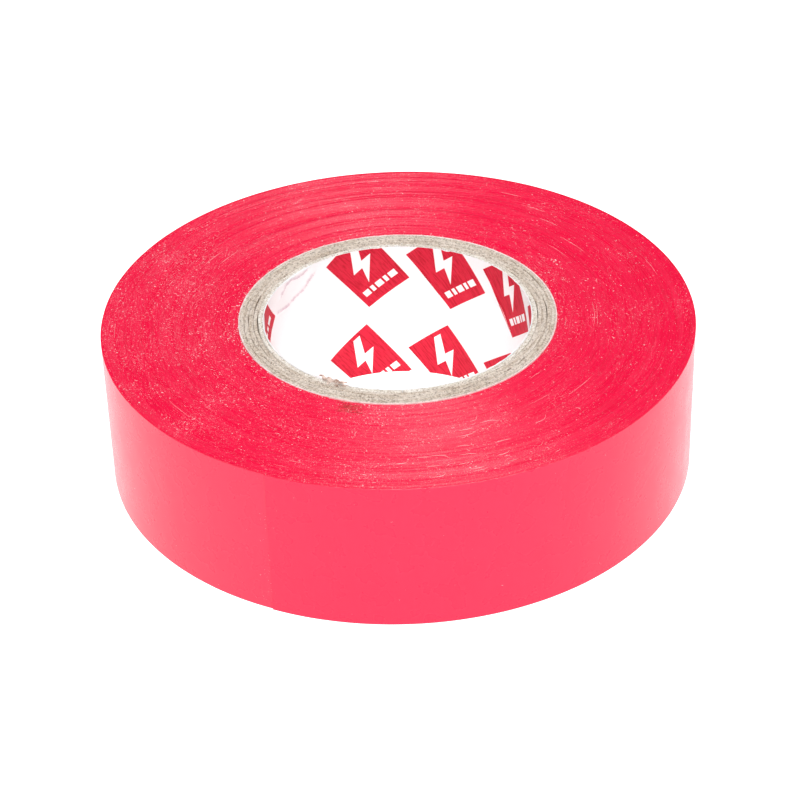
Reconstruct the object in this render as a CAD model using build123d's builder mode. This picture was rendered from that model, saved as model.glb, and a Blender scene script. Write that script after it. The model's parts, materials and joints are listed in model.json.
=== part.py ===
from build123d import *
import os
from math import degrees, pi, radians, tan

os.makedirs("parts", exist_ok=True)

# A roll of electrical tape lying flat: +Z is the roll's axis, and the origin is the middle
# of the face it lies on. All lengths are in millimetres and all angles in degrees.

# Roll
ROLL_RADIUS = 36.1  # over the last turn, at its free edge
TAPE_WIDTH = 19.0
FILM_THICKNESS = 0.13  # soft PVC backing
ADHESIVE_THICKNESS = 0.02
FREE_EDGE_ANGLE = -115.0  # where the strip ends, from +X

# Core: a spirally wound paper tube, from the bore outwards
BORE_RADIUS = 16.25
LINER_THICKNESS = 0.15
PLY_COUNT = 5
PLY_THICKNESS = 0.56
WRAP_THICKNESS = 0.15
WINDING_ANGLE = 37.5  # of the paper strips' edges, from the rim
BUTT_GAP = 0.12  # between the two edges of one strip, where they meet
LINER_SEAM_ANGLE = -139.0  # of the liner's seam at the bottom of the roll, from +X
SEAM_STEP = 137.5  # from one ply's seam to the next, so that no two lie together
SEAM_OVERRUN = 2.0  # of the cut that parts a strip's edges, past each face of the roll

# Free end of the tape: short links, hinged to each other, that peel off the roll
LINK_COUNT = 12
LINK_LENGTH = 4.0  # along the outer face
LINK_GAP = 0.05

# The last turn is a spiral made of two half circles. Their centres lie either side of the
# axis, so that one turn brings the radius down by exactly one thickness of tape.
TAPE_THICKNESS = FILM_THICKNESS + ADHESIVE_THICKNESS
CENTRE_SHIFT = TAPE_THICKNESS / 4
FIRST_RADIUS = ROLL_RADIUS - CENTRE_SHIFT
SECOND_RADIUS = ROLL_RADIUS - 3 * CENTRE_SHIFT
SPIRAL_PLANE = Plane.XY.rotated((0, 0, FREE_EDGE_ANGLE))

SEAM_PITCH = 2 * pi * BORE_RADIUS * tan(radians(WINDING_ANGLE))
CORE_RADIUS = BORE_RADIUS + LINER_THICKNESS + PLY_COUNT * PLY_THICKNESS + WRAP_THICKNESS


def along_first(length):
    """The angle at which this length of strip, from the free edge, ends."""
    return degrees(length / FIRST_RADIUS)


def paper_tube(name, inner_radius, thickness, seam_angle):
    """Write one ply of the core: a tube, cut where the edges of its spiral strip meet."""
    start_angle = seam_angle + 360 * SEAM_OVERRUN / SEAM_PITCH
    start_plane = Plane.XY.offset(-SEAM_OVERRUN).rotated((0, 0, start_angle))
    with BuildPart() as tube:
        with BuildSketch():
            Circle(inner_radius + thickness)
            Circle(inner_radius, mode=Mode.SUBTRACT)
        extrude(amount=TAPE_WIDTH)
        with BuildLine(start_plane):
            seam = Helix(
                pitch=SEAM_PITCH,
                height=TAPE_WIDTH + 2 * SEAM_OVERRUN,
                radius=inner_radius + thickness / 2,
                lefthand=True,
            )
        with BuildSketch(Plane(origin=seam @ 0, x_dir=start_plane.x_dir, z_dir=seam % 0)):
            Rectangle(2 * thickness, BUTT_GAP)
        sweep(path=seam, is_frenet=True, mode=Mode.SUBTRACT)
    tube.part.label = name
    export_step(tube.part, f"parts/{name}.step")


def tape_strip(name, thickness, arcs):
    """Write a length of tape whose outer face follows arcs of (centre x, radius, start, end)."""
    with BuildPart() as strip:
        with BuildSketch(SPIRAL_PLANE):
            for centre_x, radius, start, end in arcs:
                with BuildLine():
                    outer = CenterArc((centre_x, 0), radius, start, end - start)
                    inner = CenterArc((centre_x, 0), radius - thickness, start, end - start)
                    Line(outer @ 0, inner @ 0)
                    Line(outer @ 1, inner @ 1)
                make_face()
        extrude(amount=TAPE_WIDTH)
    strip.part.label = name
    export_step(strip.part, f"parts/{name}.step")


# Core

paper_tube("bore_liner", BORE_RADIUS, LINER_THICKNESS, LINER_SEAM_ANGLE)

for ply in range(1, PLY_COUNT + 1):
    ply_radius = BORE_RADIUS + LINER_THICKNESS + (ply - 1) * PLY_THICKNESS
    paper_tube(f"core_ply_{ply}", ply_radius, PLY_THICKNESS, LINER_SEAM_ANGLE + ply * SEAM_STEP)

wrap_seam_angle = LINER_SEAM_ANGLE + (PLY_COUNT + 1) * SEAM_STEP
paper_tube("core_white_wrap", CORE_RADIUS - WRAP_THICKNESS, WRAP_THICKNESS, wrap_seam_angle)

# Tape that stays on the roll: every turn but the last, bonded to one another. Its outside
# is the underside of the last turn, so it has a step of one thickness at the free edge.

with BuildPart() as wound_tape:
    with BuildSketch(SPIRAL_PLANE):
        with BuildLine():
            CenterArc((CENTRE_SHIFT, 0), FIRST_RADIUS - TAPE_THICKNESS, 0, 180)
            CenterArc((-CENTRE_SHIFT, 0), SECOND_RADIUS - TAPE_THICKNESS, 180, 180)
            Line((ROLL_RADIUS - 2 * TAPE_THICKNESS, 0), (ROLL_RADIUS - TAPE_THICKNESS, 0))
        make_face()
        Circle(CORE_RADIUS, mode=Mode.SUBTRACT)
    extrude(amount=TAPE_WIDTH)
wound_tape.part.label = "wound_tape"
export_step(wound_tape.part, "parts/wound_tape.step")

# Last turn, from the peel line round to where it runs under the free edge

peel_angle = along_first(LINK_COUNT * LINK_LENGTH + LINK_GAP / 2)
first_half = (CENTRE_SHIFT, FIRST_RADIUS, peel_angle, 180)
second_half = (-CENTRE_SHIFT, SECOND_RADIUS, 180, 360)
tape_strip("outer_turn", TAPE_THICKNESS, [first_half, second_half])

# Free end, link 1 at the peel line and the last link at the free edge. A link is the film
# alone: the thickness of its adhesive is the clearance between it and the turn below.

for link in range(1, LINK_COUNT + 1):
    links_beyond = LINK_COUNT - link
    free_side_gap = LINK_GAP / 2 if links_beyond else 0
    start_angle = along_first(links_beyond * LINK_LENGTH + free_side_gap)
    end_angle = along_first((links_beyond + 1) * LINK_LENGTH - LINK_GAP / 2)
    link_arc = (CENTRE_SHIFT, FIRST_RADIUS, start_angle, end_angle)
    tape_strip(f"tape_end_{link:02d}", FILM_THICKNESS, [link_arc])
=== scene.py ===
"""A roll of red electrical tape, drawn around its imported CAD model.

Lengths are in metres. Angles round the roll are in radians from +X, counter-clockwise from
above, and "wind" is the angle that the strip has turned through, counted from its free edge.
"""

import json
from math import cos, pi, radians, sin, tan

import bmesh
import bpy
import numpy as np
from mathutils import Matrix, Vector
from mathutils.geometry import delaunay_2d_cdt

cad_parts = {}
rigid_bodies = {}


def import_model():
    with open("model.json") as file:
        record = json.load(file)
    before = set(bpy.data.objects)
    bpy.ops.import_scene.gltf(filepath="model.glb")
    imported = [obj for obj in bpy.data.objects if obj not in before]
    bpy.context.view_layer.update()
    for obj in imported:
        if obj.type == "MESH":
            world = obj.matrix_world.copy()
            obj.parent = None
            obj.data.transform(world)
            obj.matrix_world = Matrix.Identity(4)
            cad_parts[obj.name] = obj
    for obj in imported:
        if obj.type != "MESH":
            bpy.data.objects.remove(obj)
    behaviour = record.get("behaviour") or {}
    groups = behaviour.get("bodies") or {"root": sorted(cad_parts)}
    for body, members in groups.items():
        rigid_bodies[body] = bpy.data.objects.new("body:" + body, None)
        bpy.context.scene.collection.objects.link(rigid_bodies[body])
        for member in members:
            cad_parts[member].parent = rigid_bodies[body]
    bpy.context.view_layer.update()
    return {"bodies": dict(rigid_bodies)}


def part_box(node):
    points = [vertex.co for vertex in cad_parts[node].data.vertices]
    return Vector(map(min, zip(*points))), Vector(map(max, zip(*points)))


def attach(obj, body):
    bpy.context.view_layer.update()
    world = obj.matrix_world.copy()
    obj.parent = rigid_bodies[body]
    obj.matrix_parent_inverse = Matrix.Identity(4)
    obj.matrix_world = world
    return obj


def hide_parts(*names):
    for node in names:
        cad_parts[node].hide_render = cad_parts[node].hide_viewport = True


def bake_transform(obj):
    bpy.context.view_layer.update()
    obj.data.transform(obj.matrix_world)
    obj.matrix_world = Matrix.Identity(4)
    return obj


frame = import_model()

MM = 0.001

# ------------------------ sizes, from the CAD frame

TAPE_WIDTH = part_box("wound_tape")[1][2]
CORE_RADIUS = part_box("core_white_wrap")[1][0]
PLY_COUNT = 5
ply_edges = [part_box("bore_liner")[1][0]]
ply_edges += [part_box(f"core_ply_{ply}")[1][0] for ply in range(1, PLY_COUNT + 1)]

LINER_THICKNESS = 0.15 * MM
BORE_RADIUS = ply_edges[0] - LINER_THICKNESS
FREE_EDGE = radians(-115)
ROLL_RADIUS = 36.1 * MM  # at the free edge
TURNS = 112  # of tape, the last one included
TAPE_THICKNESS = (ROLL_RADIUS - CORE_RADIUS) / TURNS
LINK_LENGTH = 4 * MM
LINK_COUNT = sum(body.startswith("tape_end") for body in frame["bodies"])
PEEL_START = LINK_COUNT * LINK_LENGTH  # of the hinged links, from the free edge
LINER_SEAM = radians(-139)  # at the bottom of the roll
WINDING_ANGLE = radians(37.5)  # of the paper strips' edges, from the rim
SEAM_STEP = radians(137.5)  # from one ply's seam to the next
SEAM_PITCH = 2 * pi * BORE_RADIUS * tan(WINDING_ANGLE)

# ------------------------ small helpers


def smooth_noise(seed, cells, points, closed=True):
    """Smooth noise of about -1 to 1, with this many random values spaced along 0 to 1."""
    values = np.random.RandomState(seed).uniform(-1, 1, cells if closed else cells + 1)
    place = np.asarray(points) * cells
    low = np.floor(place).astype(int)
    share = place - low
    share = share * share * (3 - 2 * share)
    if closed:
        return values[low % cells] * (1 - share) + values[(low + 1) % cells] * share
    low = np.clip(low, 0, cells - 1)
    return values[low] * (1 - share) + values[low + 1] * share


def around(radius, angle, height):
    """Points on a cylinder, one row of x, y, z for each."""
    radius, angle, height = np.broadcast_arrays(radius, angle, height)
    return np.stack([radius * np.cos(angle), radius * np.sin(angle), height], -1).reshape(-1, 3)


def turn_from(middle, angle):
    """How far an angle is from a middle one, from -pi to pi."""
    return np.angle(np.exp(1j * (angle - middle)))


def lathe(loop, angles):
    """Points and faces of a ring. The loop gives its section as radii and heights, each one
    number or one value per angle."""
    radius = np.stack([np.broadcast_to(r, angles.shape) for r, _ in loop], -1)
    height = np.stack([np.broadcast_to(z, angles.shape) for _, z in loop], -1)
    points = around(radius, angles[:, None], height)
    return points.tolist(), grid_faces(len(angles), len(loop), True, True).tolist()


def grid_faces(rows, columns, close_rows=False, close_columns=False, first=0):
    """Quads over a grid of vertices that are numbered row by row."""
    row = np.arange(rows if close_rows else rows - 1)
    column = np.arange(columns if close_columns else columns - 1)
    row, column = np.meshgrid(row, column, indexing="ij")
    next_row = (row + 1) % rows
    next_column = (column + 1) % columns
    corners = [
        row * columns + column,
        next_row * columns + column,
        next_row * columns + next_column,
        row * columns + next_column,
    ]
    return np.stack(corners, -1).reshape(-1, 4) + first


def into_scene(name, data):
    thing = bpy.data.objects.new(name, data)
    bpy.context.scene.collection.objects.link(thing)
    return thing


def make_piece(name, points, faces, materials, face_materials=None, smooth=True, uv=None):
    """A mesh object. Faces may have three or four corners; uv gives one place per vertex."""
    mesh = bpy.data.meshes.new(name)
    mesh.from_pydata(np.asarray(points).tolist(), [], [list(map(int, f)) for f in faces])
    for material in materials:
        mesh.materials.append(material)
    if face_materials is not None:
        mesh.polygons.foreach_set("material_index", np.asarray(face_materials, np.int32))
    mesh.polygons.foreach_set("use_smooth", np.full(len(mesh.polygons), smooth))
    if uv is not None:
        loops = np.empty(len(mesh.loops), np.int32)
        mesh.loops.foreach_get("vertex_index", loops)
        layer = mesh.uv_layers.new(name="strip")
        layer.data.foreach_set("uv", np.asarray(uv, np.float32)[loops].ravel())
    mesh.validate()
    mesh.update()
    return into_scene(name, mesh)


def place(piece, body, node, slot):
    """The piece rides on a body and stands for a CAD node, which is hidden. The slot is not used.
    """
    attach(piece, body)
    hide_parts(node)


def sharpen(piece, angle):
    """Shade smoothly, except over edges that turn by more than this angle."""
    bpy.context.view_layer.objects.active = piece
    for other in bpy.context.selected_objects:
        other.select_set(False)
    piece.select_set(True)
    bpy.ops.object.shade_smooth_by_angle(angle=angle)


SAME_PLACE = 0.0001 * MM


def weld(piece):
    """Join vertices that lie on each other, where a spiral comes round to its own line."""
    mesh = bmesh.new()
    mesh.from_mesh(piece.data)
    bmesh.ops.remove_doubles(mesh, verts=mesh.verts, dist=SAME_PLACE)
    mesh.to_mesh(piece.data)
    mesh.free()


# ------------------------ materials


class Nodes:
    """A short way to write a material's node tree."""

    def __init__(self, name):
        self.material = bpy.data.materials.new(name)
        self.material.use_nodes = True
        self.tree = self.material.node_tree
        self.shader = self.tree.nodes["Principled BSDF"]

    def add(self, kind, **inputs):
        node = self.tree.nodes.new(kind)
        for key, value in inputs.items():
            self.feed(node.inputs[key.replace("_", " ")], value)
        return node

    def feed(self, socket, value):
        """Link a socket to another node's output, or give it a constant."""
        if isinstance(value, bpy.types.NodeSocket):
            self.tree.links.new(value, socket)
        else:
            socket.default_value = value

    def math(self, operation, first, second=0.0, third=0.0):
        node = self.tree.nodes.new("ShaderNodeMath")
        node.operation = operation
        for socket, value in zip(node.inputs, (first, second, third)):
            self.feed(socket, value)
        return node.outputs[0]

    def noise(self, vector, scale, detail=2.0, roughness=0.5):
        node = self.add("ShaderNodeTexNoise", Vector=vector, Scale=scale)
        self.feed(node.inputs["Detail"], detail)
        self.feed(node.inputs["Roughness"], roughness)
        return node.outputs["Fac"]

    def ramp(self, value, *stops):
        """A colour ramp. Each stop is a place and a grey value or a colour."""
        node = self.tree.nodes.new("ShaderNodeValToRGB")
        elements = node.color_ramp.elements
        while len(elements) < len(stops):
            elements.new(0.5)
        for element, (at, colour) in zip(elements, stops):
            element.position = at
            grey = isinstance(colour, (int, float))
            element.color = (colour, colour, colour, 1) if grey else (*colour, 1)
        self.feed(node.inputs[0], value)
        return node.outputs[0]

    def mix(self, share, first, second):
        node = self.tree.nodes.new("ShaderNodeMix")
        node.data_type = "RGBA"
        self.feed(node.inputs[0], share)
        for socket, value in ((node.inputs[6], first), (node.inputs[7], second)):
            self.feed(socket, (*value, 1) if isinstance(value, tuple) else value)
        return node.outputs[2]

    def bump(self, height, distance, strength):
        node = self.add("ShaderNodeBump", Height=height, Distance=distance, Strength=strength)
        return node.outputs["Normal"]

    def set(self, **inputs):
        for key, value in inputs.items():
            if isinstance(value, tuple) and len(value) == 3:
                value = (*value, 1)
            self.feed(self.shader.inputs[key.replace("_", " ")], value)
        return self.material

    def object_place(self):
        return self.add("ShaderNodeTexCoord").outputs["Object"]

    def rings(self, round_scale, radial_scale, height_scale=0.0):
        """A place that repeats round the roll: features run along the turns when
        round_scale is the smaller."""
        parts = self.add("ShaderNodeSeparateXYZ", Vector=self.object_place()).outputs
        square = self.math("MULTIPLY_ADD", parts[0], parts[0], self.math("POWER", parts[1], 2.0))
        radius = self.math("SQRT", square)
        across = self.math("MULTIPLY", self.math("DIVIDE", parts[0], radius), round_scale)
        along = self.math("MULTIPLY", self.math("DIVIDE", parts[1], radius), round_scale)
        out = self.math("MULTIPLY", radius, radial_scale)
        up = self.math("MULTIPLY_ADD", parts[2], height_scale, out)
        return self.add("ShaderNodeCombineXYZ", X=across, Y=along, Z=up).outputs[0]


LONGEST_PLACE = 250.0  # mm along the strip that the film's colour ramp spans

# Linear colours. The film and the cut edges of the tape are the same PVC.
FILM_RED = (0.93, 0.003, 0.055)
FILM_PALE = (0.93, 0.30, 0.36)
EDGE_RED = (0.90, 0.0015, 0.056)
EDGE_DEEP = (0.72, 0.001, 0.032)
EDGE_PALE = (0.93, 0.030, 0.100)
BOARD = (0.60, 0.49, 0.39)
BOARD_LIGHT = (0.82, 0.73, 0.65)
BOARD_DARK = (0.17, 0.11, 0.08)
CREAM = (0.74, 0.66, 0.56)
CREAM_LIGHT = (0.93, 0.88, 0.82)
CREAM_DARK = (0.36, 0.26, 0.19)
INK_RED = (0.66, 0.019, 0.048)


def film_material():
    """The outer face of the PVC film: smooth, semi-gloss, very slightly uneven."""
    n = Nodes("tape_film")
    place_on_strip = n.add("ShaderNodeUVMap").outputs[0]
    streaks = n.add("ShaderNodeMapping", Vector=place_on_strip, Scale=(1, 0.12, 1)).outputs[0]
    cloud = n.noise(place_on_strip, 0.35, 3)
    streak = n.noise(streaks, 1.6, 3)
    grain = n.noise(place_on_strip, 14.0, 2)
    colour = n.mix(n.ramp(cloud, (0.3, 0.0), (0.75, 0.35)), FILM_RED, (0.94, 0.008, 0.065))
    colour = n.mix(n.ramp(streak, (0.5, 0.0), (0.9, 0.25)), colour, (0.94, 0.018, 0.078))
    parts = n.add("ShaderNodeSeparateXYZ", Vector=place_on_strip).outputs
    # the strip is a shade paler where it nears its own free edge again
    share = n.math("DIVIDE", parts[0], LONGEST_PLACE)
    under_end = n.ramp(share, (0.80, 0.0), (0.90, 0.03))
    colour = n.mix(under_end, colour, FILM_PALE)
    height = n.math("MULTIPLY_ADD", streak, 0.5, n.math("MULTIPLY", grain, 0.12))
    return n.set(
        Base_Color=colour,
        Roughness=n.ramp(cloud, (0.2, 0.24), (0.8, 0.32)),
        IOR=1.45,
        Normal=n.bump(height, 0.000012, 0.5),
    )


def adhesive_material():
    """The sticky side: glossier than the film, with a fine orange-peel."""
    n = Nodes("tape_adhesive")
    place_on_strip = n.add("ShaderNodeUVMap").outputs[0]
    peel = n.noise(place_on_strip, 3.5, 3)
    fine = n.noise(place_on_strip, 12.0, 2)
    colour = n.mix(n.ramp(peel, (0.35, 0.0), (0.7, 0.5)), (0.78, 0.05, 0.09), (0.87, 0.12, 0.16))
    height = n.math("MULTIPLY_ADD", peel, 0.7, n.math("MULTIPLY", fine, 0.3))
    return n.set(
        Base_Color=colour,
        Roughness=n.ramp(fine, (0.3, 0.16), (0.7, 0.30)),
        IOR=1.48,
        Normal=n.bump(height, 0.00004, 0.7),
    )


def edge_material():
    """The cut edges of all the turns, side by side: fine rings, cross-scratches from the
    slitting knife and pale specks that are thickest on one side."""
    n = Nodes("tape_edges")
    bands = n.noise(n.rings(1.2, 900), 1.0, 4, 0.65)
    rings = n.noise(n.rings(5.0, 5200), 1.0, 3, 0.7)
    scratches = n.noise(n.rings(190.0, 1100), 1.0, 2, 0.6)
    grain = n.noise(n.object_place(), 5600, 3, 0.75)
    cluster = n.noise(n.object_place(), 190, 3)
    parts = n.add("ShaderNodeSeparateXYZ", Vector=n.object_place()).outputs
    one_side = n.math("MULTIPLY_ADD", parts[0], -0.7, n.math("MULTIPLY", cluster, 0.20))
    speck = n.math("ADD", n.noise(n.object_place(), 8000, 1), one_side)
    fleck = n.math("ADD", n.noise(n.object_place(), 4300, 1), one_side)
    colour = n.mix(n.ramp(bands, (0.38, 0.0), (0.66, 0.42)), EDGE_RED, EDGE_PALE)
    colour = n.mix(n.ramp(rings, (0.34, 0.5), (0.52, 0.0)), colour, EDGE_DEEP)
    colour = n.mix(n.ramp(grain, (0.32, 0.75), (0.46, 0.0)), colour, EDGE_DEEP)
    colour = n.mix(n.ramp(speck, (0.72, 0.0), (0.79, 0.6)), colour, (0.95, 0.30, 0.36))
    colour = n.mix(n.ramp(fleck, (0.82, 0.0), (0.86, 0.8)), colour, (0.96, 0.62, 0.64))
    height = n.math("MULTIPLY_ADD", rings, 0.45, n.math("MULTIPLY", scratches, 0.16))
    height = n.math("MULTIPLY_ADD", grain, 0.06, height)
    return n.set(
        Base_Color=colour,
        Roughness=n.ramp(bands, (0.3, 0.24), (0.7, 0.33)),
        IOR=1.5,
        Specular_IOR_Level=0.15,
        Normal=n.bump(height, 0.00004, 0.8),
    )


def loose_material(name, scale, detail, dark, light, full_at, roughness):
    """Loose matt bits, whose colour varies from dark to light from one to the next."""
    n = Nodes(name)
    tone = n.noise(n.object_place(), scale, detail)
    colour = n.mix(n.ramp(tone, (0.35, 0.0), (full_at, 1.0)), dark, light)
    return n.set(Base_Color=colour, Roughness=roughness)


def board_material(name, middle, light, dark, contrast):
    """Cut paperboard: pressed fibres that run round the tube, light and dark."""
    n = Nodes(name)
    layer = n.noise(n.rings(4.0, 3600, 700), 1.0, 3, 0.6)
    streak = n.noise(n.rings(22.0, 7500, 1800), 1.0, 3, 0.7)
    fibre = n.noise(n.rings(90.0, 8000, 2600), 1.0, 3, 0.75)
    grain = n.noise(n.object_place(), 4200, 4, 0.85)
    colour = n.mix(n.ramp(layer, (0.40, 0.0), (0.60, 0.8)), middle, light)
    colour = n.mix(n.ramp(streak, (0.34, contrast), (0.44, 0.0)), colour, dark)
    colour = n.mix(n.ramp(fibre, (0.34, contrast), (0.43, 0.0)), colour, dark)
    colour = n.mix(n.ramp(grain, (0.38, 0.8), (0.47, 0.0)), colour, dark)
    colour = n.mix(n.ramp(grain, (0.52, 0.0), (0.59, 1.0)), colour, light)
    height = n.math("MULTIPLY_ADD", fibre, 0.6, n.math("MULTIPLY", grain, 0.6))
    return n.set(Base_Color=colour, Roughness=0.9, Normal=n.bump(height, 0.00006, 1.0))


def paper_material():
    """White coated paper, faintly fibrous, with painted shade in greyish pink along the creases.
    Its UV is the height of the crease."""
    n = Nodes("white_paper")
    fibre = n.noise(n.object_place(), 1400, 4, 0.7)
    relief = n.add("ShaderNodeSeparateXYZ", Vector=n.add("ShaderNodeUVMap").outputs[0]).outputs[0]
    # painted shade along the creases: rim follows the crease height, and where it is high the
    # paper is coloured a greyish pink
    rim = n.math("MULTIPLY", relief, n.ramp(fibre, (0.3, 0.65), (0.6, 1.0)))
    colour = n.mix(n.ramp(fibre, (0.35, 0.0), (0.7, 0.4)), (0.96, 0.96, 0.96), (0.91, 0.90, 0.91))
    colour = n.mix(n.ramp(rim, (0.50, 0.0), (0.95, 0.8)), colour, (0.62, 0.46, 0.54))
    return n.set(Base_Color=colour, Roughness=0.55, Normal=n.bump(fibre, 0.00001, 0.5))


def wrap_material():
    """The thin light ply under the tape, tinted by adhesive and frayed."""
    n = Nodes("wrap_paper")
    along = n.noise(n.rings(26.0, 900), 1.0, 3, 0.7)
    fibre = n.noise(n.object_place(), 3800, 3, 0.7)
    colour = n.mix(n.ramp(along, (0.35, 0.0), (0.6, 1.0)), (0.80, 0.56, 0.54), (0.95, 0.84, 0.83))
    colour = n.mix(n.ramp(fibre, (0.36, 0.5), (0.48, 0.0)), colour, (0.60, 0.44, 0.38))
    return n.set(Base_Color=colour, Roughness=0.7, Normal=n.bump(fibre, 0.00003, 0.8))


def ink_material():
    """Red print on the liner, with the fine streaks of a worn plate along each block."""
    n = Nodes("red_ink")
    place_in_block = n.add("ShaderNodeUVMap").outputs[0]
    hatch = n.add("ShaderNodeMapping", Vector=place_in_block, Scale=(1, 0.09, 1)).outputs[0]
    streak = n.noise(hatch, 4.2, 3, 0.7)
    blotch = n.noise(n.object_place(), 700, 3)
    colour = n.mix(n.ramp(streak, (0.40, 0.9), (0.52, 0.0)), INK_RED, (0.48, 0.010, 0.026))
    colour = n.mix(n.ramp(blotch, (0.5, 0.0), (0.8, 0.35)), colour, (0.74, 0.05, 0.075))
    return n.set(
        Base_Color=colour,
        Roughness=0.55,
        Specular_IOR_Level=0.10,
        Normal=n.bump(streak, 0.000008, 0.4),
    )


FILM = film_material()
ADHESIVE = adhesive_material()
EDGES = edge_material()
# lint on the cut edges, torn paper, and board dust soaked in adhesive
LINT = loose_material("lint", 900, 2, (0.96, 0.55, 0.58), (0.97, 0.90, 0.90), 0.6, 0.6)
TORN = loose_material("torn_fibre", 1500, 3, (0.36, 0.20, 0.14), (0.84, 0.68, 0.60), 0.6, 0.85)
STAIN = loose_material("stained_dust", 2500, 3, (0.50, 0.006, 0.02), (0.78, 0.10, 0.10), 0.65, 0.7)
GREYBOARD = board_material("greyboard", BOARD, BOARD_LIGHT, BOARD_DARK, 0.7)
INNER_BOARD = board_material("inner_board", CREAM, CREAM_LIGHT, CREAM_DARK, 1.0)
PAPER = paper_material()
WRAP = wrap_material()
INK = ink_material()

# ------------------------ wound tape

STEPS = 180  # round each turn
FACE_SUNK = 0.045 * MM  # so that no turn stands above the roll's face
GROOVE_DEPTH = 0.020 * MM  # on average, between one turn's edge and the next
CORE_LEDGE = 0.20 * MM  # how far the first turn lies below the core's rim
ON_TOP = TAPE_WIDTH - 0.03 * MM  # where loose bits lie on the turns' edges
ON_UNDERSIDE = 0.035 * MM

# Material numbers of the wound turns
CUT_EDGE, OUTER_FILM, LOOSE_LINT, STAINED = range(4)


def flake(random, centre, size, squash):
    """Points and faces of one irregular flake: an octahedron, pushed about."""
    axes = np.array([[1, 0, 0], [0, 1, 0], [-1, 0, 0], [0, -1, 0], [0, 0, 1], [0, 0, -1]], float)
    turn = random.uniform(0, 2 * pi)
    spin = np.array([[cos(turn), -sin(turn), 0], [sin(turn), cos(turn), 0], [0, 0, 1]])
    points = axes * random.uniform(0.6, 1.3, (6, 3)) * [size, size * squash, size * 0.5]
    faces = [(i, (i + 1) % 4, 4) for i in range(4)] + [((i + 1) % 4, i, 5) for i in range(4)]
    return points @ spin.T + centre, faces


def thread(line, width):
    """Points and faces of a three-sided tube along a line, thin at both ends."""
    line = np.asarray(line)
    heading = np.gradient(line, axis=0)
    heading /= np.linalg.norm(heading, axis=1)[:, None]
    side = np.stack([-heading[:, 1], heading[:, 0], np.zeros(len(line))], -1)
    share = np.linspace(-1, 1, len(line))
    half = width * (1 - 0.75 * np.abs(share) ** 3)[:, None]
    up = np.array([0, 0, 1.0]) * half * 1.4
    points = np.stack([line + side * half, line - side * half, line + up], 1).reshape(-1, 3)
    faces = []
    for i in range(len(line) - 1):
        a, b = 3 * i, 3 * i + 3
        faces += [(a + j, a + (j + 1) % 3, b + (j + 1) % 3, b + j) for j in range(3)]
    last = 3 * (len(line) - 1)
    faces += [(2, 1, 0), (last, last + 1, last + 2)]
    return points, faces


def hair(random, centre, length, width, lift):
    """One short curled fibre that lies on a face."""
    share = np.linspace(-0.5, 0.5, 5)
    heading = random.uniform(0, 2 * pi) + random.uniform(-1.8, 1.8) * share
    steps = np.stack([np.cos(heading), np.sin(heading)], -1) * length / 4
    flat = np.cumsum(steps, 0) - steps.sum(0) / 2
    line = np.column_stack([flat, lift * (1 - (2 * share) ** 2)]) + centre
    return thread(line, width)


def burr(random, level):
    """A fine raised thread of film that the knife has left along a turn's edge."""
    radius = random.uniform(CORE_RADIUS + 1 * MM, ROLL_RADIUS - 0.5 * MM)
    length = random.uniform(0.8, 6.0) * MM
    middle = random.uniform(0, 2 * pi)
    angle = middle + np.linspace(-0.5, 0.5, max(5, int(length / (0.5 * MM)))) * length / radius
    wander = smooth_noise(random.randint(9999), 4, np.linspace(0, 1, len(angle)), False)
    return thread(around(radius + wander * 0.03 * MM, angle, level), 0.014 * MM)


def scatter(seed, makers, points, faces, tags, tag):
    """Add small loose shapes. Each of the makers is a count, a function that gives back points
    and faces, and what it takes besides the random numbers."""
    random = np.random.RandomState(seed)
    for count, maker, *settings in makers:
        for _ in range(count):
            new_points, new_faces = maker(random, *settings)
            first = len(points)
            points.extend(new_points.tolist())
            faces.extend([tuple(i + first for i in face) for face in new_faces])
            tags.extend([tag] * len(new_faces))


def wound_face(seed, height, outward):
    """One flat face of the wound turns. Returns the points of the groove line and the crown
    line that spiral inwards, and the angles of the groove line's points."""
    inner_turns = TURNS - 1
    count = STEPS * inner_turns
    wind = 2 * pi + np.arange(count + 1) * 2 * pi / STEPS
    radius = ROLL_RADIUS - TAPE_THICKNESS * wind / (2 * pi)
    angle = FREE_EDGE + wind
    turn = np.arange(count + 1) / STEPS

    def uneven(seed_step, cells, most):
        return smooth_noise(seed + seed_step, cells, turn / inner_turns, False) * most * MM

    drift = uneven(0, 19, 0.026)
    drift += uneven(1, 47, 0.020)
    wobble = uneven(2, 4 * inner_turns, 0.006)
    each = uneven(3, inner_turns, 0.010)
    level = drift + wobble + each
    level -= FACE_SUNK
    depth = GROOVE_DEPTH + uneven(4, 2 * inner_turns, 0.010)
    groove = around(radius, angle, height + outward * (level - depth))
    crown = around(radius - TAPE_THICKNESS / 2, angle, height + outward * level)
    return groove, crown[: count - STEPS + 1], angle


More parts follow.
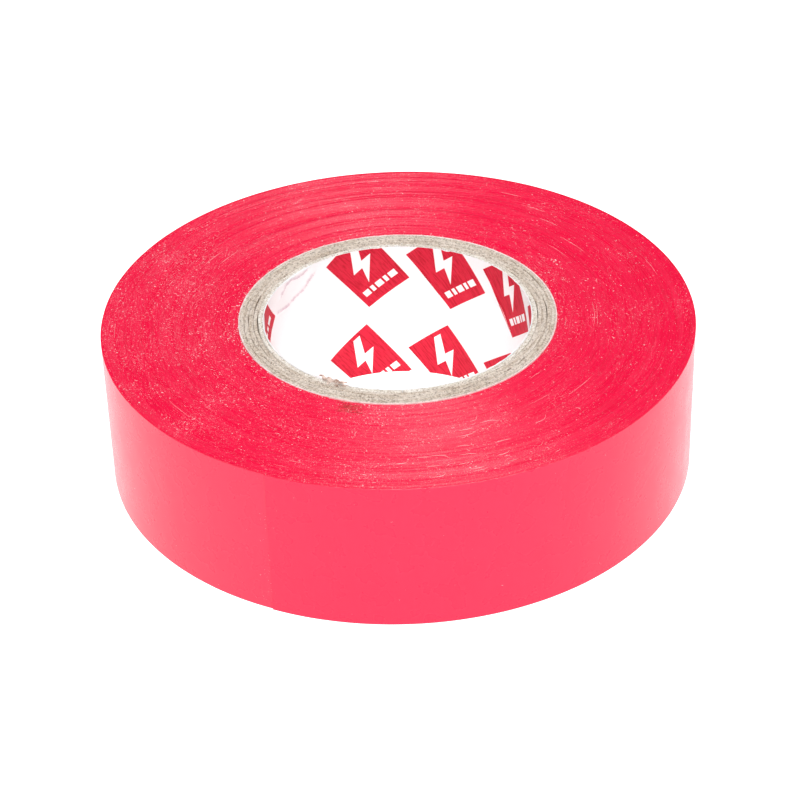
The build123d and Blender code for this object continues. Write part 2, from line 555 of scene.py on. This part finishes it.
def wound_tape():
    """All the turns but the last, as one spiral of tape edges above and below."""
    points, faces, tags = [], [], []
    last_line = STEPS * (TURNS - 2)
    starts = []
    for seed, height, outward in ((11, TAPE_WIDTH, 1), (31, 0.0, -1)):
        groove, crown, angle = wound_face(seed, height, outward)
        inner = around(CORE_RADIUS, angle[: STEPS + 1], height - outward * CORE_LEDGE)
        first = len(points)
        starts.append(first)
        lines = [groove[: last_line + STEPS + 1], crown[: last_line + 1]]
        points.extend(np.concatenate(lines + [inner]).tolist())
        crown_first = first + last_line + STEPS + 1
        inner_first = crown_first + last_line + 1
        i = np.arange(last_line)
        g, c = first + i, crown_first + i
        below = np.where(i < last_line - STEPS, g + STEPS, inner_first + i - last_line + STEPS)
        outer_half = np.stack([g, c, c + 1, g + 1], -1)
        inner_half = np.stack([c, below, below + 1, c + 1], -1)
        both = np.concatenate([outer_half, inner_half])
        if outward < 0:
            both = both[:, ::-1]
        faces.extend(both.tolist())
        tags.extend([CUT_EDGE] * len(both))
        starts.append((crown_first, inner_first))
    top, (top_crown, top_inner), low, (low_crown, low_inner) = starts
    for i in range(STEPS):
        faces.append((top + i, top + i + 1, low + i + 1, low + i))
        faces.append((top_inner + i + 1, top_inner + i, low_inner + i, low_inner + i + 1))
        tags += [OUTER_FILM, CUT_EDGE]
    # the step under the free edge, where the second turn starts
    faces.append((top_crown, top, low, low_crown))
    faces.append((top + STEPS, top_crown, low_crown, low + STEPS))
    tags += [OUTER_FILM, OUTER_FILM]
    loose_bits(points, faces, tags)
    corners = np.array(points)
    turned = np.arctan2(corners[:, 1], corners[:, 0]) - FREE_EDGE
    along = (np.mod(turned, 2 * pi) + 2 * pi) * ROLL_RADIUS / MM
    uv = np.column_stack([along, corners[:, 2] / MM])
    piece = make_piece("wound_turns", points, faces, [EDGES, FILM, LINT, STAIN], tags, uv=uv)
    weld(piece)
    sharpen(piece, radians(12))
    place(piece, "roll", "wound_tape", "tape_edges")


def loose_bits(points, faces, tags):
    """Add what lies on the turns' edges: lint, chips beside the core, burrs, scuffs and a
    stain."""
    span = ROLL_RADIUS - CORE_RADIUS

    def on_face(random, outward):
        """A place on a face, crowded at the left, at the right and towards the core."""
        radius = CORE_RADIUS + span * random.beta(1.0, 1.35) * 0.985
        angle = random.uniform(0, 2 * pi)
        patch = random.uniform()
        if patch < 0.42:
            angle = random.normal(radians(195), radians(42))
        elif patch < 0.60:
            angle = random.normal(radians(12), radians(16))
        height = ON_TOP if outward > 0 else ON_UNDERSIDE
        return np.array([radius * cos(angle), radius * sin(angle), height])

    def crumb(random, outward, low_size, high_size):
        size = random.uniform(low_size, high_size) * MM
        return flake(random, on_face(random, outward), size, random.uniform(0.35, 1))

    def lint(random, outward):
        length = random.uniform(0.2, 0.75) * MM
        width = random.uniform(0.012, 0.024) * MM
        return hair(random, on_face(random, outward), length, width, 0.02 * MM)

    def chip(random):
        radius = CORE_RADIUS + random.gamma(1.2, 0.28) * MM
        angle = random.normal(radians(215), radians(75))
        centre = around(radius, angle, TAPE_WIDTH - 0.05 * MM)[0]
        return flake(random, centre, random.uniform(0.03, 0.11) * MM, random.uniform(0.35, 1))

    def stain(random):
        """A stroke or a crumb of the stain, which lies along the turns."""
        angle = radians(random.normal(-106, 2.2))
        radius = random.uniform(19.8, 21.7) * MM
        centre = around(radius, angle, ON_TOP)[0]
        if random.uniform() < 0.4:
            return flake(random, centre, random.uniform(0.06, 0.16) * MM, 0.5)
        spread = np.linspace(-0.5, 0.5, 5) * random.uniform(0.4, 1.4) * MM / radius
        return thread(around(radius, angle + spread, centre[2]), 0.026 * MM)

    def nick(random):
        angle = radians(random.normal(30, 1.5))
        radius = random.uniform(22.8, 23.6) * MM
        centre = around(radius, angle, ON_TOP)[0]
        return flake(random, centre, random.uniform(0.08, 0.17) * MM, 0.6)

    def scuff(random):
        """A scratch that follows a turn and then hooks across it."""
        radius = random.uniform(24.5, 34.5) * MM
        share = np.linspace(0, 1, 7)
        angle = radians(random.normal(-76, 9)) + random.uniform(0.5, 2.2) * MM / radius * share
        hook = random.uniform(-0.8, 0.8) * MM * share**5
        return thread(around(radius + hook, angle, ON_TOP), 0.019 * MM)

    small = [
        (1000, crumb, 1, 0.02, 0.05),
        (700, crumb, 1, 0.05, 0.08),
        (130, crumb, 1, 0.08, 0.12),
        (260, chip),
        (60, lint, 1),
        (28, burr, TAPE_WIDTH - 0.04 * MM),
        (24, scuff),
    ]
    scatter(5, small, points, faces, tags, LOOSE_LINT)
    scatter(7, [(95, stain)], points, faces, tags, STAINED)
    scatter(8, [(8, nick)], points, faces, tags, LOOSE_LINT)
    under = [(260, crumb, -1, 0.015, 0.03), (60, lint, -1)]
    scatter(6, under, points, faces, tags, LOOSE_LINT)


wound_tape()

# ------------------------ last turn and free end


ONE_TURN = 2 * pi * ROLL_RADIUS  # of the strip, where it runs under its own free edge
UNDER_END = ONE_TURN - 1 * MM
BEVEL = 0.02 * MM  # of the strip's cut edges
STEP = 0.35 * MM  # between the strip's rows of points


def strip_radius(wind):
    """The radius of the film's outer face where the strip has turned by this angle."""
    return ROLL_RADIUS - TAPE_THICKNESS * wind / (2 * pi)


def strip_piece(name, start, end, thickness, ragged_start=False):
    """A closed length of tape between two distances from the free edge, film outside and
    adhesive inside."""
    count = max(4, int(round((end - start) / STEP)))
    distance = np.linspace(start, end, count + 1)
    rows = np.array([BEVEL, 0.4 * MM, *np.linspace(2.5 * MM, TAPE_WIDTH - 2.5 * MM, 9)])
    rows = np.array([*rows, TAPE_WIDTH - 0.4 * MM, TAPE_WIDTH - BEVEL])
    loop_height = np.concatenate([rows, [TAPE_WIDTH], rows[::-1], [0.0]])
    outside = np.concatenate([np.ones(len(rows)), [0.5], np.zeros(len(rows)), [0.5]])
    d, h = np.meshgrid(distance, loop_height, indexing="ij")
    o = np.broadcast_to(outside, d.shape)
    wave = smooth_noise(71, 90, d / ONE_TURN) * 0.007 * MM
    wave += smooth_noise(72, 37, (d + 0.35 * h) / ONE_TURN) * 0.006 * MM
    wave += smooth_noise(73, 210, d / ONE_TURN) * 0.0025 * MM
    if ragged_start:
        first = np.arange(len(distance)) == 0
        ragged = smooth_noise(74, 19, loop_height / TAPE_WIDTH, False) * 0.05 * MM
        d = d + np.outer(first, ragged)
    wind = d / ROLL_RADIUS
    radius = strip_radius(wind) - (1 - o) * thickness + wave * (o > 0.4) - 0.008 * MM
    points = around(radius, FREE_EDGE + wind, h)
    columns = len(loop_height)
    body = grid_faces(count + 1, columns, close_columns=True)
    column_of_face = np.tile(np.arange(columns), count)
    sticky = (column_of_face > len(rows)) & (column_of_face < 2 * len(rows))
    half = len(rows)
    caps = []
    for row, flip in ((0, False), (count, True)):
        base = row * columns
        for i in range(half - 1):
            a, b = base + i, base + i + 1
            c, e = base + 2 * half - i - 1, base + 2 * half - i
            caps.append((a, b, c, e) if flip else (e, c, b, a))
        top_tip = (base + half - 1, base + half, base + half + 1)
        low_tip = (base + 2 * half, base + 2 * half + 1, base)
        for tip in (top_tip, low_tip):
            caps.append(tip if flip else tip[::-1])
    points = points.tolist()
    faces = body.tolist() + caps
    tags = sticky.astype(int).tolist() + [0] * len(caps)
    uv = np.stack([d.ravel() / MM, h.ravel() / MM], -1)

    def speck(random):
        """A grain of dust on the film; many lie where the strip goes under its free edge."""
        at, height = random.uniform(start + 0.3 * MM, end - 0.3 * MM), random.uniform(0.02, 0.98)
        if end > UNDER_END and random.uniform() < 0.3:
            at, height = end - random.gamma(1.6, 0.6) * MM, random.uniform(0.02, 0.75)
        turned = at / ROLL_RADIUS
        centre = around(strip_radius(turned), FREE_EDGE + turned, height * TAPE_WIDTH)[0]
        if random.uniform() < 0.12:
            return hair(random, centre, random.uniform(0.15, 0.4) * MM, 0.014 * MM, 0.0)
        return flake(random, centre, random.uniform(0.015, 0.055) * MM, 0.7)

    count = int((end - start) / (1.1 * MM))
    scatter(int(start / MM) + 20, [(count, speck)], points, faces, tags, 2)
    uv = np.concatenate([uv, np.zeros((len(points) - len(uv), 2))])
    piece = make_piece(name, points, faces, [FILM, ADHESIVE, LINT], tags, uv=uv)
    sharpen(piece, radians(35))
    return piece


def last_turn():
    """The strip from the first hinge round to where it runs under the free edge."""
    start = PEEL_START + LINK_LENGTH / 2
    turn = strip_piece("last_turn", start, ONE_TURN, TAPE_THICKNESS)
    place(turn, "roll", "outer_turn", "tape_film")


def free_end():
    """The peelable end, cut into a piece over each hinge."""
    thickness = TAPE_THICKNESS - 0.005 * MM
    for link in range(1, LINK_COUNT + 1):
        hinge = (LINK_COUNT - link + 1) * LINK_LENGTH
        is_last = link == LINK_COUNT
        start = 0.0 if is_last else hinge - LINK_LENGTH / 2
        end = hinge + LINK_LENGTH / 2
        piece = strip_piece(f"free_end_{link:02d}", start, end, thickness, is_last)
        child = f"tape_end_{link:02d}"
        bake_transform(piece)
        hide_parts(child)


last_turn()
free_end()

# ------------------------ core


def seam_angle(ply, height):
    """Where a ply's butt joint lies at this height. The liner is ply 0."""
    return LINER_SEAM + ply * SEAM_STEP - 2 * pi * height / SEAM_PITCH


def ring_angles(count, *extra):
    """Even angles round a ring, with close-set ones about each extra angle."""
    spread = np.array([-0.5, -0.2, -0.07, 0.0, 0.07, 0.2, 0.5]) * pi / 180
    close = [np.mod(angle + spread, 2 * pi) for angle in extra]
    return np.unique(np.concatenate([np.linspace(0, 2 * pi, count, endpoint=False), *close]))


# Where a ply has come away from the one inside it: ply, angle and spread in degrees.
PARTED = (
    (2, 186, 10),
    (3, 168, 6),
    (1, 80, 22),
    (2, 2, 7),
    (4, 1, 6),
    (2, 207, 8),
    (5, 26, 2.5),
    (2, 32, 5),
    (2, 120, 8),
    (1, 225, 8),
)


# Where a ply's rows of points lie, from its inner face to its outer one.
ACROSS_PLY = (0.0, 0.06, 0.2, 0.38, 0.55, 0.72, 0.88, 0.96, 1.0)


def greyboard_ply(ply):
    """One ply: a ring whose cut faces are torn and fibrous, split from its neighbours by
    grooves that open into dark slits here and there."""
    inner, outer = ply_edges[ply - 1], ply_edges[ply]
    top_seam = seam_angle(ply, TAPE_WIDTH)
    low_seam = seam_angle(ply, 0)
    angles = ring_angles(720, top_seam, low_seam)
    share = angles / (2 * pi)
    profile = []
    for seed, height, outward, seam in (
        (100 + ply, TAPE_WIDTH, 1, top_seam),
        (200 + ply, 0.0, -1, low_seam),
    ):
        slit = np.clip(smooth_noise(seed, 34, share) * 1.6 - 0.85, 0, 1) * 0.6  # shallow ones
        for parted_ply, middle, spread in PARTED if outward > 0 else ():
            if parted_ply == ply:
                off = turn_from(radians(middle), angles) / radians(spread)
                ragged = 0.6 + 0.4 * smooth_noise(seed + 5, 210, share)
                slit = np.maximum(slit, np.clip(1.4 - 1.4 * off**2, 0, 1) * ragged)
        groove = 0.55 + 0.45 * smooth_noise(seed + 6, 60, share)
        joint = np.exp(-((turn_from(seam, angles) * inner / (0.05 * MM)) ** 2))
        rows = []
        for place_across in ACROSS_PLY:
            texture = smooth_noise(seed * 7 + int(90 * place_across), 330, share) * 0.030
            texture += smooth_noise(seed * 9 + int(90 * place_across), 110, share) * 0.030
            level = outward * (texture - 0.07) * MM
            at_inner = max(0.0, 1 - place_across / 0.10)
            at_outer = max(0.0, 1 - (1 - place_across) / 0.09)
            level = level - outward * (0.14 * groove + 1.6 * slit) * at_inner * MM
            level = level - outward * 0.10 * groove * at_outer * MM
            level = level - outward * 0.5 * joint * MM
            shrink = (0.03 * groove + 0.34 * slit) * at_inner * MM
            rows.append((inner + (outer - inner) * place_across + shrink, height + level))
        profile.append(rows)
    top, low = profile
    loop = top + [(outer, 0.6 * TAPE_WIDTH), (outer, 0.4 * TAPE_WIDTH)] + low[::-1]
    loop += [(inner, 0.4 * TAPE_WIDTH), (inner, 0.6 * TAPE_WIDTH)]
    points, faces = lathe(loop, angles)
    tags = [0] * len(faces)

    def fuzz(random, level):
        radius = random.uniform(inner, outer)
        angle = random.uniform(0, 2 * pi)
        centre = np.array([radius * cos(angle), radius * sin(angle), level])
        length = random.uniform(0.2, 0.7) * MM
        return hair(random, centre, length, random.uniform(0.008, 0.016) * MM, 0.04 * MM)

    loose = [(110, fuzz, TAPE_WIDTH - 0.05 * MM), (25, fuzz, 0.06 * MM)]
    scatter(300 + ply, loose, points, faces, tags, 0)
    board = INNER_BOARD if ply == 1 else GREYBOARD
    piece = make_piece(f"greyboard_{ply}", points, faces, [board], tags)
    sharpen(piece, radians(60))
    place(piece, "roll", f"core_ply_{ply}", "greyboard")


def white_wrap():
    """The core's thin outer ply, whose cut edge stands a hair above the greyboard."""
    inner, outer = ply_edges[PLY_COUNT], CORE_RADIUS
    top_seam = seam_angle(PLY_COUNT + 1, TAPE_WIDTH)
    angles = ring_angles(600, top_seam, seam_angle(PLY_COUNT + 1, 0))
    share = angles / (2 * pi)
    rise = smooth_noise(401, 150, share) * 0.02 * MM
    spread = (smooth_noise(402, 80, share) * 0.5 + 0.5) * 0.05 * MM
    top = TAPE_WIDTH + rise
    middle = (inner + outer) / 2
    loop = [
        (inner - spread, top - 0.06 * MM),
        (middle, top - 0.015 * MM),
        (outer, top - 0.05 * MM),
        (outer, 0.05 * MM),
        (middle, 0.01 * MM),
        (inner, 0.06 * MM),
    ]
    points, faces = lathe(loop, angles)
    tags = [0] * len(faces)

    def fray(random):
        radius = random.uniform(inner - 0.05 * MM, outer + 0.12 * MM)
        centre = around(radius, random.uniform(0, 2 * pi), TAPE_WIDTH - 0.03 * MM)[0]
        return flake(random, centre, random.uniform(0.03, 0.09) * MM, random.uniform(0.4, 1))

    scatter(410, [(300, fray)], points, faces, tags, 0)
    piece = make_piece("white_wrap", points, faces, [WRAP], tags)
    sharpen(piece, radians(40))
    place(piece, "roll", "core_white_wrap", "white_paper")


for ply_number in range(1, PLY_COUNT + 1):
    greyboard_ply(ply_number)
white_wrap()

# ------------------------ printed liner

# Wrinkles of the liner where it is lapped: arc lengths to the right of the back, and heights.
CREASES = (
    ((-19.3, 15.8), (-16.6, 15.3), (-13.3, 16.1), (-11.5, 17.5)),
    ((-15.5, 18.6), (-13.9, 18.3), (-12.4, 18.7)),
    ((-17.8, 17.6), (-16.6, 18.4), (-15.5, 18.6)),
)

# Red blocks with plain white marks, on a grid that runs round the bore. Their places are arc
# lengths to the right of the back of the bore, and heights.
BLOCK_SIZE = (6.7 * MM, 9.4 * MM)
BLOCK_TILT = radians(37.5)
BLOCK_PITCH = (10.65 * MM, 14.05 * MM)
BLOCK_START = (-3.85 * MM, 2.05 * MM)
BLOCK_COLUMNS = (-2, 0, 1, 2, 3, 4, 5, 6)  # none where the liner is joined
SEAM_SLIP = 1.2 * MM  # how far the print is out of step beyond the join

# Material numbers of the liner
WHITE_PAPER, PRINT, SHREDS = range(3)


def clip(polygon, low, high):
    """The part of a convex polygon between two heights."""
    for limit, keep_above in ((low, True), (high, False)):
        kept = []
        for a, b in zip(polygon, polygon[1:] + polygon[:1]):
            a_in = (a[1] >= limit) == keep_above or a[1] == limit
            b_in = (b[1] >= limit) == keep_above or b[1] == limit
            if a_in:
                kept.append(a)
            if a_in != b_in:
                share = (limit - a[1]) / (b[1] - a[1])
                kept.append((a[0] + (b[0] - a[0]) * share, limit))
        polygon = kept
        if not polygon:
            break
    return polygon


# The white marks in a block, in millimetres from its middle: a lightning flash above and a
# row of dashes below.
FLASH = ((0.5, 4.1), (-1.7, 0.5), (-0.3, 0.5), (-1.0, -1.8), (1.8, 1.4), (0.3, 1.4), (1.6, 4.1))
DASHES = ((-2.6, -1.7), (-1.4, -0.9), (-0.6, 0.4), (0.7, 1.2), (1.5, 2.6))
DASH_HEIGHTS = (-3.3, -2.4)
PRINT_CELL = 0.45  # mm, between the points of a block
PRINT_MARGIN = 0.05  # mm, from the liner's two rims
INK_RISE = 0.010 * MM  # of the print off the paper


def split(outline, size):
    """Points along a closed outline, at most this far apart."""
    points = []
    for a, b in zip(outline, outline[1:] + outline[:1]):
        pieces = max(1, int(np.hypot(b[0] - a[0], b[1] - a[1]) / size))
        for i in range(pieces):
            points.append((a[0] + (b[0] - a[0]) * i / pieces, a[1] + (b[1] - a[1]) * i / pieces))
    return points


def is_inside(point, outline):
    """Whether a point lies inside a closed outline, by counting crossings."""
    crossings = 0
    for a, b in zip(outline, outline[1:] + outline[:1]):
        if (a[1] > point[1]) != (b[1] > point[1]):
            at = a[0] + (point[1] - a[1]) / (b[1] - a[1]) * (b[0] - a[0])
            crossings += point[0] < at
    return crossings % 2 == 1


def block_print(centre):
    """One printed block, flat, as points and triangles: a red rectangle with white marks cut
    out of it and whatever runs over the liner's edges cut off. All in millimetres."""
    wide, tall = BLOCK_SIZE[0] / 2 / MM, BLOCK_SIZE[1] / 2 / MM
    cos_tilt, sin_tilt = cos(BLOCK_TILT), sin(BLOCK_TILT)

    def turn(outline):
        return [
            (centre[0] + x * cos_tilt - y * sin_tilt, centre[1] + x * sin_tilt + y * cos_tilt)
            for x, y in outline
        ]

    rim = clip(
        turn([(-wide, -tall), (wide, -tall), (wide, tall), (-wide, tall)]),
        PRINT_MARGIN,
        TAPE_WIDTH / MM - PRINT_MARGIN,
    )
    if len(rim) < 3:
        return [], []
    low, high = DASH_HEIGHTS
    marks = [turn(FLASH)]
    marks += [turn([(a, low), (b, low), (b, high), (a, high)]) for a, b in DASHES]
    points, edges = [], []
    for outline in [rim] + marks:
        loop = split(outline, PRINT_CELL)
        first = len(points)
        points += loop
        edges += [(first + i, first + (i + 1) % len(loop)) for i in range(len(loop))]
    corners = np.array(rim)
    for x in np.arange(corners[:, 0].min(), corners[:, 0].max(), PRINT_CELL):
        for y in np.arange(corners[:, 1].min(), corners[:, 1].max(), PRINT_CELL):
            if is_inside((x, y), rim):
                points.append((x, y))
    result = delaunay_2d_cdt([Vector(p) for p in points], edges, [], 0, 1e-5)
    kept = []
    for triangle in result[2]:
        middle = sum((result[0][i] for i in triangle), Vector((0, 0))) / 3
        if is_inside(middle, rim) and not any(is_inside(middle, mark) for mark in marks):
            kept.append(triangle)
    return [tuple(p) for p in result[0]], kept


def crease_relief(arc, height):
    """How far the wrinkles stand off the bore, from 0 to 1: a ridge with one steep side."""
    relief = np.zeros(arc.shape)
    for line in CREASES:
        for (x0, z0), (x1, z1) in zip(line, line[1:]):
            start, along = np.array([x0, z0]) * MM, np.array([x1 - x0, z1 - z0]) * MM
            length = np.hypot(*along)
            x, z = arc - start[0], height - start[1]
            share = np.clip((x * along[0] + z * along[1]) / length**2, 0, 1)
            x, z = x - share * along[0], z - share * along[1]
            side = (along[0] * z - along[1] * x) / length
            width = np.where(side > 0, 0.65 * MM, 0.13 * MM)
            relief = np.maximum(relief, np.exp(-((np.hypot(x, z) / width) ** 2)))
    return relief


def liner_surface(angle, height):
    """The liner's inner radius and the height of its creases."""
    off = turn_from(seam_angle(0, height), angle) * BORE_RADIUS
    lap = 0.05 * MM * np.clip(1 - off / (5 * MM), 0, 1) * (off > 0)
    near = np.exp(-((off / (6 * MM)) ** 2))
    arc = turn_from(angle, pi / 2) * BORE_RADIUS
    share = np.mod(angle, 2 * pi) / (2 * pi)
    ripple = smooth_noise(501, 46, share) * smooth_noise(504, 7, height / TAPE_WIDTH, False)
    relief = crease_relief(arc, height)
    waves = smooth_noise(505, 31, share) * smooth_noise(506, 3, height / TAPE_WIDTH, False)
    crease = relief * 0.26 * MM + near * ripple * 0.03 * MM
    return BORE_RADIUS + 0.012 * MM - lap - crease + waves * 0.010 * MM, relief


def liner():
    """The printed inner ply: white paper with a lapped, wrinkled seam, and its print."""
    middle = np.linspace(0.3 * MM, TAPE_WIDTH - 0.3 * MM, 78)
    heights = np.array([0.0, 0.06 * MM, *middle, TAPE_WIDTH - 0.06 * MM, TAPE_WIDTH])
    angles = np.linspace(0, 2 * pi, 620, endpoint=False)
    a, h = np.meshgrid(angles, heights, indexing="ij")
    inside, relief = liner_surface(a, h)
    curl = 0.04 * MM * smooth_noise(502, 70, a / (2 * pi)) * (h > TAPE_WIDTH - 0.3 * MM)
    inside = inside + curl * 0.5
    ragged = (smooth_noise(503, 210, angles / (2 * pi)) - 0.4) * 0.07 * MM
    outside = np.full(angles.shape, ply_edges[0] - 0.004 * MM)
    points = np.concatenate(
        [
            around(inside, a, np.where(h == TAPE_WIDTH, h + ragged[:, None] - 0.04 * MM, h)),
            around(outside, angles, TAPE_WIDTH - 0.08 * MM),
            around(outside, angles, 0.02 * MM),
        ]
    )
    count, rows = len(angles), len(heights)
    uv = np.zeros((len(points), 2))
    uv[: relief.size, 0] = relief.ravel()
    faces = grid_faces(count, rows, True).tolist()
    top_first, low_first = count * rows, count * rows + count
    for i in range(count):
        j = (i + 1) % count
        faces.append((top_first + i, top_first + j, j * rows + rows - 1, i * rows + rows - 1))
        faces.append((low_first + i, low_first + j, top_first + j, top_first + i))
        faces.append((i * rows, j * rows, low_first + j, low_first + i))
    tags = [WHITE_PAPER] * len(faces)
    points = points.tolist()

    def fringe(random):
        angle = random.uniform(0, 2 * pi)
        radius = BORE_RADIUS + random.uniform(0.02, 0.14) * MM + random.gamma(1, 0.10) * MM
        centre = around(radius, angle, TAPE_WIDTH - 0.02 * MM)[0]
        return flake(random, centre, random.uniform(0.04, 0.13) * MM, random.uniform(0.4, 1))

    scatter(9, [(330, fringe)], points, faces, tags, WHITE_PAPER)
    torn_flap(points, faces, tags)
    uv = np.concatenate([uv, np.zeros((len(points) - len(uv), 2))])
    cos_tilt, sin_tilt = cos(BLOCK_TILT), sin(BLOCK_TILT)
    for column in BLOCK_COLUMNS:
        for row in (0, 1):
            middle = (
                (BLOCK_START[0] + column * BLOCK_PITCH[0]) / MM,
                (BLOCK_START[1] + row * BLOCK_PITCH[1] + (column < 0) * SEAM_SLIP) / MM,
            )
            flat, triangles = block_print(middle)
            if not flat:
                continue
            flat = np.array(flat)
            first = len(points)
            angle = pi / 2 - flat[:, 0] * MM / BORE_RADIUS
            paper = liner_surface(angle, flat[:, 1] * MM)[0]
            points.extend(around(paper - INK_RISE, angle, flat[:, 1] * MM).tolist())
            faces.extend([tuple(first + i for i in triangle) for triangle in triangles])
            tags.extend([PRINT] * len(triangles))
            x, y = flat[:, 0] - middle[0], flat[:, 1] - middle[1]
            in_block = np.column_stack(
                [x * cos_tilt + y * sin_tilt, y * cos_tilt - x * sin_tilt]
            )
            uv = np.concatenate([uv, in_block + 20 * column + 60 * row])
    piece = make_piece("printed_liner", points, faces, [PAPER, INK, TORN], tags, uv=uv)
    sharpen(piece, radians(50))
    place(piece, "roll", "bore_liner", "printed_paper")


FLAP_START, FLAP_SPAN = radians(-127), radians(15)  # round the rim, at the front left


def torn_flap(points, faces, tags):
    """A crumpled shred of the liner that hangs on the rim, and its loose fibres."""
    columns, rows = 26, 8
    share = np.linspace(0, 1, columns)
    across = np.linspace(0, 1, rows)
    s, t = np.meshgrid(share, across, indexing="ij")
    angle = FLAP_START + FLAP_SPAN * s
    taper = np.clip(np.sin(pi * s) * 1.3, 0.2, 1) * (0.8 + 0.3 * smooth_noise(611, 9, s))
    bend = smooth_noise(612, 11, s, False) * 0.16 + smooth_noise(613, 7, t * 0.6 + 1.3 * s) * 0.12
    inner = BORE_RADIUS - 0.75 * MM + 0.55 * MM * s
    radius = inner + t * taper * (0.8 + 0.45 * s) * MM
    over = np.clip((radius - BORE_RADIUS) / (0.3 * MM), 0, 1)
    height = TAPE_WIDTH + (0.03 + over * 0.08) * MM + bend * MM
    height -= (1 - over) * 0.25 * MM * (1 - s)
    sheet = around(radius, angle, height)
    first = len(points)
    points.extend(sheet.tolist())
    points.extend((sheet - [0, 0, 0.05 * MM]).tolist())
    top = grid_faces(columns, rows, first=first)
    low = grid_faces(columns, rows, first=first + columns * rows)[:, ::-1]
    rim = [first + i * rows for i in range(columns)]
    rim += [first + (columns - 1) * rows + j for j in range(1, rows)]
    rim += [first + i * rows + rows - 1 for i in range(columns - 2, -1, -1)]
    rim += [first + j for j in range(rows - 2, 0, -1)]
    under = columns * rows
    sides = [(b, a, a + under, b + under) for a, b in zip(rim, rim[1:] + rim[:1])]
    new_faces = top.tolist() + low.tolist() + sides
    faces.extend(new_faces)
    tags.extend([SHREDS] * len(new_faces))

    def fluff(random):
        angle = radians(random.normal(-116, 3.2))
        radius = random.uniform(15.9, 17.2) * MM
        centre = around(radius, angle, random.uniform(18.95, 19.15) * MM)[0]
        if random.uniform() < 0.5:
            return flake(random, centre, random.uniform(0.06, 0.17) * MM, 0.6)
        return hair(random, centre, random.uniform(0.4, 1.1) * MM, 0.022 * MM, 0.10 * MM)

    scatter(8, [(70, fluff)], points, faces, tags, SHREDS)


liner()

# ------------------------ floor, light and camera


FLOOR_HALF = 1.6
FLOOR_LINES = 9  # of points, each way


def stage_material():
    """A pale matt floor, bright enough to read as white with soft contact shade."""
    n = Nodes("pale_floor")
    grain = n.noise(n.object_place(), 30, 2)
    colour = n.mix(n.ramp(grain, (0.3, 0.0), (0.7, 1.0)), (0.20, 0.20, 0.20), (0.22, 0.22, 0.22))
    return n.set(
        Base_Color=colour,
        Roughness=0.9,
        Emission_Color=(1.0, 1.0, 1.0),
        Emission_Strength=1.42,
    )


def floor():
    grid = np.linspace(-FLOOR_HALF, FLOOR_HALF, FLOOR_LINES)
    x, y = np.meshgrid(grid, grid, indexing="ij")
    points = np.stack([x, y, np.full_like(x, -0.02 * MM)], -1).reshape(-1, 3)
    faces = grid_faces(FLOOR_LINES, FLOOR_LINES)
    plane = make_piece("floor", points, faces, [stage_material()], smooth=False)


def world():
    scene_world = bpy.data.worlds.new("studio")
    bpy.context.scene.world = scene_world
    scene_world.use_nodes = True
    background = scene_world.node_tree.nodes["Background"]
    background.inputs["Color"].default_value = (1, 1, 1, 1)
    background.inputs["Strength"].default_value = 0.18
    bpy.context.scene.view_settings.view_transform = "Standard"
    bpy.context.scene.view_settings.look = "None"


LIGHT_TARGET = (0, 0, 0.01)


def softbox(name, location, size, power):
    """A square soft light that faces the middle of the roll. Its power is in watts."""
    light = bpy.data.lights.new(name, "AREA")
    light.shape = "RECTANGLE"
    light.size = light.size_y = size
    light.energy = power
    lamp = into_scene(name, light)
    lamp.location = location
    aim = Vector(LIGHT_TARGET) - Vector(location)
    lamp.rotation_euler = aim.to_track_quat("-Z", "Y").to_euler()


CAMERA_DISTANCE = 8.5538 * ROLL_RADIUS
CAMERA_ELEVATION = radians(34.957)
CAMERA_TILT = radians(0.9931)  # upwards, from the middle of the roll's lower face
CAMERA_ROLL = radians(1.6498)
CAMERA_LENS = 110.47
SENSOR_WIDTH = 36


def camera():
    level = Vector((1, 0, 0))
    ahead = Vector((0, cos(CAMERA_ELEVATION), -sin(CAMERA_ELEVATION)))
    above = Vector((0, sin(CAMERA_ELEVATION), cos(CAMERA_ELEVATION)))
    forward = cos(CAMERA_TILT) * ahead + sin(CAMERA_TILT) * above
    upright = cos(CAMERA_TILT) * above - sin(CAMERA_TILT) * ahead
    up = cos(CAMERA_ROLL) * upright + sin(CAMERA_ROLL) * level
    right = cos(CAMERA_ROLL) * level - sin(CAMERA_ROLL) * upright
    data = bpy.data.cameras.new("camera")
    data.lens = CAMERA_LENS
    data.sensor_width = SENSOR_WIDTH
    data.clip_start = 0.01
    eye = into_scene("camera", data)
    turn = Matrix((right, up, -forward)).transposed().to_4x4()
    eye.matrix_world = Matrix.Translation(-CAMERA_DISTANCE * ahead) @ turn
    bpy.context.scene.camera = eye


floor()
world()
softbox("key", location=(0.06, 0.33, 0.72), size=0.2, power=2.65)
softbox("front", location=(0.05, -0.60, 0.45), size=0.3, power=3.7)
softbox("left", location=(-0.35, 0.12, 0.30), size=0.3, power=0.35)
softbox("right", location=(0.35, 0.0, 0.30), size=0.3, power=0.25)
camera()
